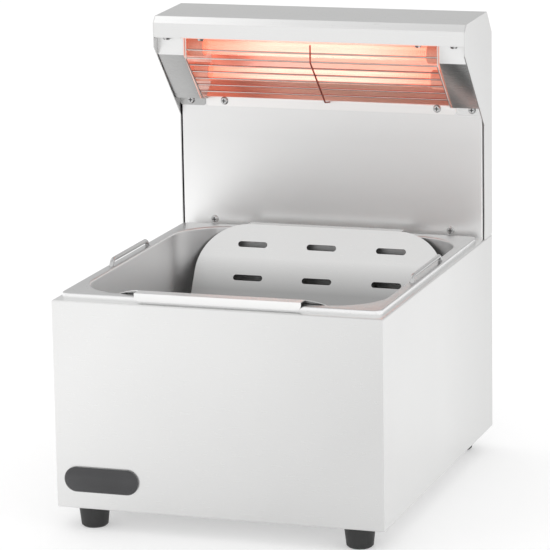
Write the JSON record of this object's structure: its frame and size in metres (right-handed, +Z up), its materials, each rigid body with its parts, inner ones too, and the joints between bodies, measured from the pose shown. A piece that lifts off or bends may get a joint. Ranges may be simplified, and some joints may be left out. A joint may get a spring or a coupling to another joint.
{
  "type": "chip warmer",
  "caption": "Counter-top chip warmer: a lift-out pan with a curved slotted insert under a rear column whose hood holds glowing quartz tubes behind a wire guard.",
  "frame": {"origin": "under the middle of the whole object, in the plane of the undersides of the feet", "axes": "+X to the right seen from the front, +Y from the front to the rear column, +Z up"},
  "size_m": [0.335, 0.42, 0.468],
  "materials": {
    "body_steel": "satin, brushed",
    "inner_steel": "mill",
    "lamp_steel": "satin",
    "reflector_sheet": "polished",
    "quartz_glow": "clear, lit orange from inside",
    "coil_glow": "glowing resistance wire",
    "cap_ceramic": "matt",
    "guard_chrome": "plated wire",
    "screw_steel": "bright",
    "pan_steel": "satin, pressed",
    "insert_steel": "satin",
    "handle_steel": "bright wire",
    "foot_rubber": "matt black",
    "badge_enamel": "gloss, plain",
    "black_plastic": "matt",
    "rocker_plastic": "gloss",
    "white_plastic": "matt"
  },
  "bodies": {
    "warmer": {"housing_shell": "body_steel", "base_plate": "inner_steel", "lower_rear_panel": "body_steel", "well_partition": "inner_steel", "front_left_foot": "foot_rubber", "front_right_foot": "foot_rubber", "rear_left_foot": "foot_rubber", "rear_right_foot": "foot_rubber", "foot_screws": "screw_steel", "badge": "badge_enamel", "column_front_panel": "body_steel", "column_bracket": "inner_steel", "column_screws": "screw_steel", "left_hood_side": "body_steel", "right_hood_side": "body_steel", "hood_top_cover": "body_steel", "rear_cover": "body_steel", "rear_cover_screws": "screw_steel", "left_cheek_plate": "lamp_steel", "right_cheek_plate": "lamp_steel", "reflector": "reflector_sheet", "left_reflector_end": "reflector_sheet", "right_reflector_end": "reflector_sheet", "upper_quartz_tube": "quartz_glow", "lower_quartz_tube": "quartz_glow", "upper_heating_coil": "coil_glow", "lower_heating_coil": "coil_glow", "upper_left_lamp_cap": "cap_ceramic", "upper_right_lamp_cap": "cap_ceramic", "lower_left_lamp_cap": "cap_ceramic", "lower_right_lamp_cap": "cap_ceramic", "wire_guard": "guard_chrome", "lower_lamp_screws": "screw_steel", "upper_lamp_screws": "screw_steel", "lower_rear_screws": "screw_steel", "switch_housing": "black_plastic", "cable_gland": "black_plastic", "gland_nut": "black_plastic", "terminal_block": "white_plastic"},
    "food_pan": {"pan": "pan_steel"},
    "left_grip": {"left_handle": "handle_steel", "left_handle_stops": "handle_steel"},
    "right_grip": {"right_handle": "handle_steel", "right_handle_stops": "handle_steel"},
    "insert": {"drain_insert": "insert_steel"},
    "rocker": {"power_switch": "rocker_plastic"}
  },
  "joints": [
    {"name": "pan_lift", "type": "slide", "parent": "warmer", "child": "food_pan", "axis": [0, 0, 1], "range_m": [0, 0.11]},
    {"name": "insert_tilt", "type": "hinge", "parent": "food_pan", "child": "insert", "pos_m": [0, 0.1535, 0.2358], "axis": [-1, 0, 0], "range_deg": [0, 35]},
    {"name": "left_handle_lift", "type": "slide", "parent": "food_pan", "child": "left_grip", "axis": [0, 0, 1], "range_m": [0, 0.0215]},
    {"name": "right_handle_lift", "type": "slide", "parent": "food_pan", "child": "right_grip", "axis": [0, 0, 1], "range_m": [0, 0.0215]},
    {"name": "power_switch_rock", "type": "hinge", "parent": "warmer", "child": "rocker", "pos_m": [0.095, 0.1985, 0.162], "axis": [1, 0, 0], "range_deg": [0, 24]}
  ]
}
